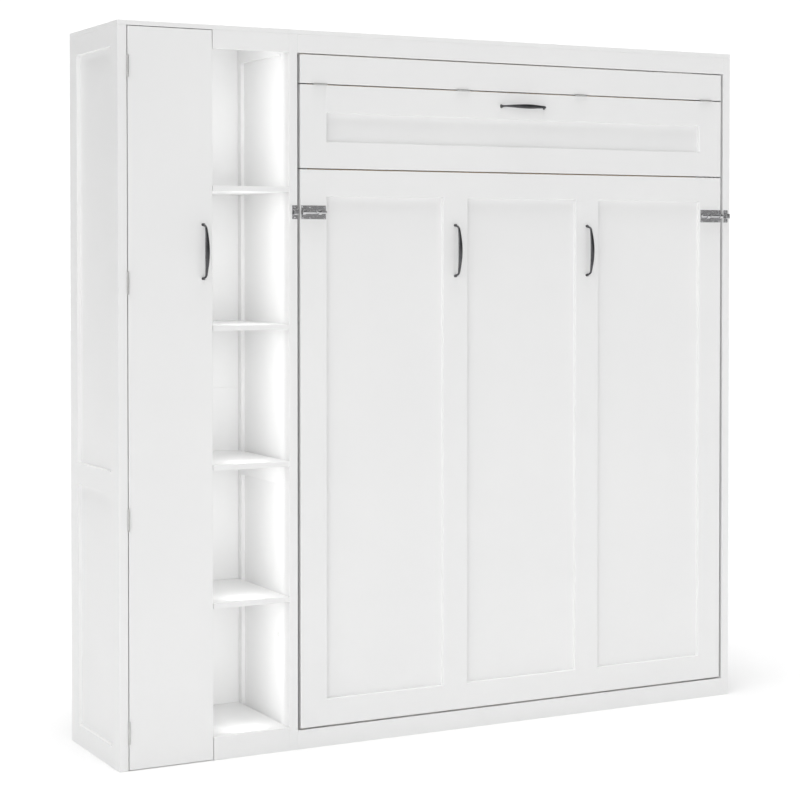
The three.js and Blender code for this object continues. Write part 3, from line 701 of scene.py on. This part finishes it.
# ---- Gas struts --------------------------------------------------------------------------------
# Sealed gas springs: a black tube with a rolled end, a ground rod that slides in it, and an eye at
# each end that turns on a stud. They push while the bed is lowered and carry most of its weight.
TUBE_RADIUS = 7 * MM
TUBE_END = 500 * MM
ROD_RADIUS = 3 * MM
EYE_RADIUS = 8.5 * MM
EYE_HALF = 4.25 * MM
EYE_HOLE = 4.4 * MM
EYE_EDGE = 0.7 * MM
STUD_RADIUS = 4 * MM
STUD_START = 6.5 * MM
STUD_END = 18 * MM
BORE_RADIUS = ROD_RADIUS + 0.4 * MM
BORE_START = TUBE_END - 440 * MM
ROD_START = TUBE_END - 60 * MM
FERRULE_RADIUS = 4.6 * MM
joints = {joint["name"]: joint for joint in frame["joints"]}
for side in ("left", "right"):
    down = -Vector(joints[f"strut_stroke_{side}"]["axis"]).normalized()
    low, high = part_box(f"strut_bracket_{side}")
    tube_low, tube_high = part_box(f"strut_cylinder_{side}")
    top = Vector(((tube_low.x + tube_high.x) / 2, (low.y + high.y) / 2, (low.z + high.z) / 2))
    rod_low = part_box(f"strut_rod_{side}")[0]
    reach = (top.z - rod_low.z - EYE_RADIUS) / -down.z
    ring = [(-EYE_HALF, EYE_HOLE), (-EYE_HALF, EYE_RADIUS - EYE_EDGE), (-EYE_HALF + EYE_EDGE, EYE_RADIUS)]
    ring += [(EYE_HALF - EYE_EDGE, EYE_RADIUS), (EYE_HALF, EYE_RADIUS - EYE_EDGE), (EYE_HALF, EYE_HOLE)]
    tube = [(STUD_START, 0), (STUD_START, STUD_RADIUS), (STUD_END, STUD_RADIUS)]
    tube += [(18.6 * MM, 6 * MM), (20 * MM, TUBE_RADIUS)]
    tube += [(TUBE_END - 9 * MM, TUBE_RADIUS), (TUBE_END - 7.6 * MM, TUBE_RADIUS - 0.8 * MM)]
    tube += [(TUBE_END - 6.2 * MM, TUBE_RADIUS), (TUBE_END - 1.6 * MM, TUBE_RADIUS)]
    tube += [(TUBE_END, TUBE_RADIUS - 1.6 * MM), (TUBE_END, BORE_RADIUS)]
    tube += [(BORE_START, BORE_RADIUS), (BORE_START, 0)]
    shells = [turned(ring + ring[:1], top, (1, 0, 0), 40), turned(tube, top, down, 40)]
    cylinder = f"strut_cylinder_{side}"
    add_piece(cylinder + "_finished", shells, BLACK, f"strut_tube_{side}", [cylinder])
    foot = top + reach * down
    rod = [(ROD_START, 0), (ROD_START, ROD_RADIUS), (reach - 24 * MM, ROD_RADIUS)]
    rod += [(reach - 24 * MM, FERRULE_RADIUS), (reach - 12 * MM, FERRULE_RADIUS)]
    rod += [(reach - 7 * MM, 3.4 * MM), (reach - 6 * MM, 0)]
    shells = [turned(ring + ring[:1], foot, (1, 0, 0), 40), turned(rod, top, down, 32)]
    name = f"strut_rod_{side}"
    add_piece(name + "_finished", shells, BRIGHT_STEEL, f"strut_piston_{side}", [name])

# ---- Bow handles -------------------------------------------------------------------------------
# Cast zinc pulls, brushed and plated dark. Each is one bar: a foot at each end splays out where it
# is screwed from behind, and the bow between them swells from a narrow end to a broad middle.
HANDLE_HALF = 74 * MM
HANDLE_FOOT = 80.5 * MM
HANDLE_SHOULDER = 21.5 * MM
BAR_WIDTH = 3.2 * MM
BAR_SWELL = 3.9 * MM
FOOT_SPLAY = 3.0 * MM
BAR_DEPTH = 2.9 * MM
BAR_CROWN = 0.5 * MM
FOOT_DEPTH = 1.6 * MM
BAR_SIDES = 28


def dark_nickel(wire):
    """Brushed dark nickel under lacquer: long fine lines, and a tone that wanders along the bar."""
    lines = wire.noise(wire.place((1, 1, 0.06)), 1200.0, 3.0, 0.7)
    cloud = wire.noise(wire.place(), 28.0, 3.0)
    tone = (0.55 * lines + 0.45 * cloud).clamped(0.32, 0.66)
    tone = tone.mixed((0.050, 0.050, 0.054, 1), (0.150, 0.150, 0.156, 1))
    return tone, 0.20 + 0.16 * lines + 0.10 * cloud, wire.bump(lines, 0.12, 0.0001)


GUNMETAL = finish_material("dark_brushed_nickel", 1.0, 0.5, dark_nickel)


def bow_handle(reach):
    """A bow handle along its own axis, as points of (across, out, along) and faces.

    The middle line is a parabola of the distance along, out = shoulder + rise*(1 - (s/half)^2), and
    bends down at each end through a quadratic curve to the splayed foot. The section is a
    superellipse whose half width falls from broad to narrow as a cosine and opens again at the foot.
    """
    crown = reach - BAR_DEPTH - BAR_CROWN
    bow = np.linspace(0, HANDLE_HALF - 8 * MM, 26)
    out = HANDLE_SHOULDER + (crown - HANDLE_SHOULDER) * (1 - (bow / HANDLE_HALF) ** 2)
    share = np.linspace(0, 1, 10)[1:]
    start = np.array([bow[-1], out[-1]])
    bend = np.array([HANDLE_HALF + 1.5 * MM, HANDLE_SHOULDER + 0.5 * MM])
    stop = np.array([HANDLE_FOOT - 2.8 * MM, 9 * MM])
    weights = np.stack([(1 - share) ** 2, 2 * share * (1 - share), share**2], 1)
    corner = weights @ np.stack([start, bend, stop])
    leg = np.linspace(0, 1, 6)[1:, None]
    legs = (1 - leg) * stop + leg * np.array([HANDLE_FOOT, 0.0])
    half_line = np.concatenate([np.stack([bow, out], 1), corner, legs])
    line = np.concatenate([half_line[:0:-1] * (-1, 1), half_line])
    tangent = np.gradient(line, axis=0)
    tangent /= np.linalg.norm(tangent, axis=1, keepdims=True)
    normal = np.stack([-tangent[:, 1], tangent[:, 0]], 1)
    along = np.clip(np.abs(line[:, 0]) / HANDLE_HALF, 0, 1)
    low_end = np.clip(1 - line[:, 1] / (12 * MM), 0, 1) ** 1.5
    width = BAR_WIDTH + BAR_SWELL * np.cos(along * pi / 2) ** 1.2 + FOOT_SPLAY * low_end
    depth = BAR_DEPTH + BAR_CROWN * np.cos(along * pi / 2) + FOOT_DEPTH * low_end
    angle = np.arange(BAR_SIDES) * 2 * pi / BAR_SIDES
    power = 2 / 2.5
    wide = np.sign(np.cos(angle)) * np.abs(np.cos(angle)) ** power
    deep = np.sign(np.sin(angle)) * np.abs(np.sin(angle)) ** power
    points = np.empty((len(line), BAR_SIDES, 3))
    points[..., 0] = width[:, None] * wide
    points[..., 1] = line[:, 1:] + depth[:, None] * deep * normal[:, 1:]
    points[..., 2] = line[:, :1] + depth[:, None] * deep * normal[:, :1]
    points[[0, -1], :, 1] = 0.0
    points[..., 1] = np.maximum(points[..., 1], 0.0)
    faces = grid_faces(len(line), BAR_SIDES, True)
    last = (len(line) - 1) * BAR_SIDES
    faces += [tuple(range(BAR_SIDES))[::-1], tuple(range(last, last + BAR_SIDES))]
    return points.reshape(-1, 3), faces


for node, body, lying in (
    ("door_handle", "door", False), ("bed_handle_left", "bed", False),
    ("bed_handle_right", "bed", False), ("foot_handle", "foot_leg", True),
):
    low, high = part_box(node)
    centre = (low + high) / 2
    points, faces = bow_handle(front_y - low.y)
    across, out, along = points.T
    if lying:
        points = np.stack([centre.x + along, front_y - out, centre.z + across], 1)
    else:
        points = np.stack([centre.x - across, front_y - out, centre.z + along], 1)
    add_piece(node + "_finished", [(points, faces)], GUNMETAL, body, [node])

# ---- Barrel bolts ------------------------------------------------------------------------------
# Stamped stainless bolts that lock the bed shut: a plate with two pressed straps, a round bolt that
# slides in them with a knob to push it by, and a keeper on the cabinet's edge beyond.
STAINLESS = finish_material(
    "bright_stainless", 1.0, 0.5, brushed_steel((0.62, 0.62, 0.63), 0.13, (0.06, 1, 1), 0.10)
)


def extruded(outline, start, end, ease):
    """An outline in (y, z) carried along X, as (points, faces), with both ends' edges eased.

    Each end has two rings: the full outline, and one drawn in along its normals by the ease.
    """
    outline = np.array(outline, float)
    y, z = outline.T
    if np.sum(y * np.roll(z, -1) - np.roll(y, -1) * z) < 0:
        outline = outline[::-1]
    edge = np.roll(outline, -1, 0) - outline
    normal = np.stack([edge[:, 1], -edge[:, 0]], 1) / np.linalg.norm(edge, axis=1, keepdims=True)
    normal = normal + np.roll(normal, 1, 0)
    normal /= np.linalg.norm(normal, axis=1, keepdims=True)
    drawn = outline - ease * normal
    start, end = min(start, end), max(start, end)
    rings = [(start, drawn), (start + ease, outline), (end - ease, outline), (end, drawn)]
    points = np.concatenate([np.column_stack([np.full(len(ring), x), ring]) for x, ring in rings])
    count = len(outline)
    faces = grid_faces(4, count, True)
    faces += [tuple(range(count))[::-1], tuple(range(3 * count, 4 * count))]
    return points, faces


def pressed_strap(axis_y, face_y, outer, inner, flange):
    """The section of a strap pressed over a bolt: flat flanges on the plate and a round hoop between."""
    angle = np.linspace(0, pi, 17)
    thick = outer - inner
    hoop_out = np.stack([axis_y - outer * np.sin(angle), outer * np.cos(angle)], 1)
    hoop_in = np.stack([axis_y - inner * np.sin(angle), inner * np.cos(angle)], 1)[::-1]
    top, tip = face_y - thick, -outer - flange
    right = [(face_y, -inner), (face_y, tip), (top, tip), (top, -outer)]
    left = [(y, -z) for y, z in right]
    return [*hoop_out, *right[::-1], *hoop_in, *left]


BOLT_PLATE = 2 * MM
BOLT_LINE = 9 * MM
BOLT_PLATE_EASE = 0.6 * MM
HOOP_OUTER = 8.2 * MM
HOOP_INNER = 5.4 * MM
HOOP_FLANGE = 4.5 * MM
HOOP_SPANS = ((0, 10 * MM), (53 * MM, 63 * MM))
BOLT_SCREW = (3.1 * MM, 1.3 * MM)
BOLT_SCREW_INSETS = (5 * MM, 30 * MM, 78 * MM)
BOLT_SCREW_LIFT = 16 * MM
BOLT_RADIUS = 5 * MM
KNOB_INSET = 47.5 * MM
KNOB_STEM = 2.2 * MM
KNOB_RADIUS = 4.0 * MM
KEEPER_HALF = 8.5 * MM
KEEPER_CORNER = 3 * MM
KEEPER_THICKNESS = 2.5 * MM
KEEPER_SETBACK = 2 * MM
KEEPER_SCREW_LIFT = 15 * MM
TUNNEL_HALF = 6 * MM
plate_face = front_y - BOLT_PLATE
bolt_y = front_y - BOLT_LINE
for side, out in (("left", -1), ("right", 1)):
    low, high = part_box(f"bolt_body_{side}")
    bolt_z = (low.z + high.z) / 2
    outer = high.x if out > 0 else low.x
    shells = [board((low.x, plate_face, low.z), (high.x, front_y, high.z), BOLT_PLATE_EASE)]
    for near, far in HOOP_SPANS:
        section = pressed_strap(bolt_y, plate_face, HOOP_OUTER, HOOP_INNER, HOOP_FLANGE)
        hoop, faces = extruded(section, outer - out * near, outer - out * far, 0.25 * MM)
        shells.append((hoop + (0, 0, bolt_z), faces))
    for inset in BOLT_SCREW_INSETS:
        for lift in (-BOLT_SCREW_LIFT, BOLT_SCREW_LIFT):
            seat = (outer - out * inset, plate_face, bolt_z + lift)
            shells.append(screw_head(seat, (0, -1, 0), *BOLT_SCREW, inset * 60 + lift * 20))
    node = f"bolt_body_{side}"
    add_piece(node + "_finished", shells, STAINLESS, "bed", [node])

    node = f"bolt_rod_{side}"
    low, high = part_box(node)
    length = high.x - low.x
    rod = [(0, 0), (0, BOLT_RADIUS - 1.6 * MM), (0.5 * MM, BOLT_RADIUS - 0.8 * MM), (1.8 * MM, BOLT_RADIUS)]
    rod += [(length - 0.6 * MM, BOLT_RADIUS), (length, BOLT_RADIUS - 0.6 * MM), (length, 0)]
    tip = (high.x if out > 0 else low.x, bolt_y, bolt_z)
    knob_base = (outer - out * KNOB_INSET, bolt_y, bolt_z)
    rise = bolt_y - low.y
    knob = [(0, 0), (0, KNOB_STEM), (rise - 8.0 * MM, KNOB_STEM), (rise - 7.0 * MM, 3.2 * MM)]
    knob += [(rise - 5.4 * MM, KNOB_RADIUS), (rise - 2.2 * MM, KNOB_RADIUS)]
    knob += [(rise - 0.8 * MM, 3.3 * MM), (rise - 0.2 * MM, 1.8 * MM), (rise, 0)]
    shells = [turned(rod, tip, (-out, 0, 0), 40), turned(knob, knob_base, (0, -1, 0), 32)]
    add_piece(node + "_finished", shells, STAINLESS, f"bolt_{side}", [node])

    node = f"bolt_keeper_{side}"
    low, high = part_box(node)
    roof, ceiling = low.y, low.y + KEEPER_THICKNESS
    sweep = np.linspace(0, pi / 2, 6)
    corner_y = roof + KEEPER_CORNER - KEEPER_CORNER * np.sin(sweep)
    corner_z = -KEEPER_HALF + KEEPER_CORNER - KEEPER_CORNER * np.cos(sweep)
    right = list(zip(corner_y, corner_z))
    left = [(y, -z) for y, z in right[::-1]]
    outside = [(plate_face, -KEEPER_HALF), *right, *left, (plate_face, KEEPER_HALF)]
    inside = [(plate_face, TUNNEL_HALF), (ceiling, TUNNEL_HALF)]
    inside += [(ceiling, -TUNNEL_HALF), (plate_face, -TUNNEL_HALF)]
    hoop, faces = extruded(outside + inside, low.x + KEEPER_SETBACK, high.x - KEEPER_SETBACK, 0.3 * MM)
    plate = board((low.x, plate_face, low.z), (high.x, front_y, high.z), BOLT_PLATE_EASE)
    shells = [plate, (hoop + (0, 0, bolt_z), faces)]
    for lift in (-KEEPER_SCREW_LIFT, KEEPER_SCREW_LIFT):
        seat = ((low.x + high.x) / 2, plate_face, bolt_z + lift)
        shells.append(screw_head(seat, (0, -1, 0), *BOLT_SCREW, lift * 90))
    add_piece(node + "_finished", shells, STAINLESS, "cabinet", [node])

# ---- Pivot caps --------------------------------------------------------------------------------
# The screw that draws each pivot plate tight comes through the upright beside it and is hidden by
# a low round plastic cap, pressed on from the outside.


def moulded_plastic(wire):
    """White moulded plastic: an even tone, a shade warmer than the paint, with a fine eggshell skin."""
    skin = wire.noise(wire.place(), 900.0, 2.0)
    tone = wire.noise(wire.place(), 40.0, 2.0).mixed((0.76, 0.76, 0.75, 1), (0.80, 0.80, 0.79, 1))
    return tone, 0.38 + 0.1 * skin, wire.bump(skin, 0.1, 0.0002)


PLASTIC = finish_material("white_plastic", 0.0, 0.5, moulded_plastic)
CAP_RADIUS = 7 * MM
CAP_HEIGHT = 2.4 * MM
CAP_FROM_BACK = 16 * MM
CAP_DROP = 5 * MM
for side, node, outward in (("left", "bed_left_panel", -1), ("right", "bed_right_panel", 1)):
    low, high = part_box(node)
    plate_low, plate_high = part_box(f"pivot_plate_{side}")
    face = (low.x if outward < 0 else high.x) - outward * STEP_DEPTH
    centre = (face, plate_high.y - CAP_FROM_BACK, (plate_low.z + plate_high.z) / 2 - CAP_DROP)
    profile = [(0, 0), (0, CAP_RADIUS), (0.8 * MM, CAP_RADIUS)]
    profile += [(CAP_HEIGHT * sin(a), CAP_RADIUS * cos(a)) for a in np.radians([35, 50, 65, 80])]
    profile += [(CAP_HEIGHT, 0)]
    add_piece(f"pivot_cap_{side}", [turned(profile, centre, (outward, 0, 0), 40)], PLASTIC, "cabinet")

# ---- Floor and light ---------------------------------------------------------------------------
# A plain pale floor in a bright white studio. Broad soft lights stand overhead, in front and on the
# left, and a dim panel in the mouth of each open compartment brings the shelves near to the rest.


def studio_floor(wire):
    """A matt pale floor with the faintest clouding."""
    cloud = wire.noise(wire.place(), 0.8, 3.0)
    tone = cloud.mixed((0.93, 0.93, 0.93, 1), (0.95, 0.95, 0.95, 1))
    return tone, 0.8 + 0.1 * cloud, wire.bump(cloud, 0.02, 0.001)


FLOOR_HALF = 30.0
corners = [(x * FLOOR_HALF, y * FLOOR_HALF, 0.0) for x, y in ((-1, -1), (1, -1), (1, 1), (-1, 1))]
sheet = bpy.data.meshes.new("floor")
sheet.from_pydata(corners, [], [(0, 1, 2, 3)])
sheet.materials.append(finish_material("pale_floor", 0.0, 0.2, studio_floor))
floor = bpy.data.objects.new("floor", sheet)
scene.collection.objects.link(floor)

ROOM_GLOW = 0.15
ROOM_SEEN = 1.1
room = bpy.data.worlds.new("studio")
room.use_nodes = True
seen = Wire(room.node_tree).node("ShaderNodeLightPath")
glow = ROOM_GLOW + (ROOM_SEEN - ROOM_GLOW) * seen
background = room.node_tree.nodes["Background"]
background.inputs["Color"].default_value = (1, 1, 1, 1)
room.node_tree.links.new(glow.socket, background.inputs["Strength"])
scene.world = room
scene.view_settings.view_transform = "Standard"

# Each broad light: its turn from straight in front, its height, its strength and its spread.
for name, turn, height, strength, spread in (
    ("overhead", -35, 88, 2.8, 40),
    ("front", -12, 14, 0.42, 40),
    ("left", -58, 18, 0.86, 50),
):
    turn, height = radians(turn), radians(height)
    toward = Vector((sin(turn) * cos(height), -cos(turn) * cos(height), sin(height)))
    light = bpy.data.objects.new(name, bpy.data.lights.new(name, "SUN"))
    light.data.energy = strength
    light.data.angle = radians(spread)
    light.rotation_euler = (-toward).to_track_quat("-Z", "Y").to_euler()
    scene.collection.objects.link(light)

# Each fill panel is narrower than its compartment, so that the side walls by it are not overlit.
FILL_POWER = 3.7
FILL_WIDTH = 0.35
FILL_SETBACK = 20 * MM
bay_left, bay_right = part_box("side_divider")[1].x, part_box("bed_left_panel")[0].x
levels = [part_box(node) for node in SIDE_BOARDS if node.startswith("bay_shelf")]
levels = sorted([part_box("side_bottom"), *levels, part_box("side_top")], key=lambda box: box[0].z)
for lower, upper in zip(levels, levels[1:]):
    bottom, top = lower[1].z, upper[0].z
    light = bpy.data.objects.new("bay_fill", bpy.data.lights.new("bay_fill", "AREA"))
    light.data.shape = "RECTANGLE"
    light.data.size = FILL_WIDTH * (bay_right - bay_left)
    light.data.size_y = top - bottom
    light.data.energy = FILL_POWER * (bay_right - bay_left) * (top - bottom)
    light.location = ((bay_left + bay_right) / 2, front_y + FILL_SETBACK, (bottom + top) / 2)
    light.rotation_euler = (pi / 2, 0, 0)
    light.visible_camera = False
    scene.collection.objects.link(light)
